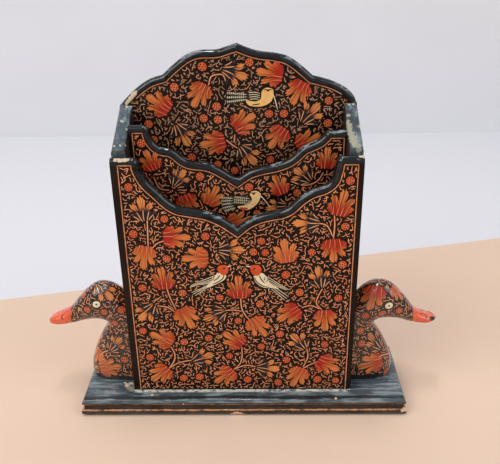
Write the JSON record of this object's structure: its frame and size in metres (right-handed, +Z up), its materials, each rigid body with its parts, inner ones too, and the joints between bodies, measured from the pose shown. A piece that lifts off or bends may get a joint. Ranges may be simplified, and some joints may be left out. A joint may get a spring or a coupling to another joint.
{
  "type": "desk letter box",
  "caption": "Free-standing desk letter box with front and rear compartments, scooped ogee rims, a peaked back, a moulded base and a carved duck at each side.",
  "frame": {"origin": "on the underside of the base, midway between the tips of the two bills and midway between the base's front and back edges", "axes": "+Z up, +X to the right seen from the front, -Y towards the person in front of it"},
  "size_m": [0.271, 0.065, 0.2401],
  "materials": {
    "dark_lacquer": "glossy worn lacquer",
    "decorated_lacquer": "painted leaves and scrolls under glossy lacquer",
    "duck_lacquer": "painted leaves and scrolls under glossy lacquer",
    "brad_steel": "plain wire",
    "dowel_wood": "bare wood"
  },
  "bodies": {
    "root": {"base_board": "dark_lacquer", "front_panel": "decorated_lacquer", "middle_divider": "decorated_lacquer", "back_panel": "decorated_lacquer", "left_side_panel": "dark_lacquer", "right_side_panel": "dark_lacquer", "left_duck": "duck_lacquer", "right_duck": "duck_lacquer", "front_panel_brads": "brad_steel", "back_panel_brads": "brad_steel", "divider_brads": "brad_steel", "base_nails": "brad_steel", "duck_dowels": "dowel_wood"}
  },
  "joints": []
}
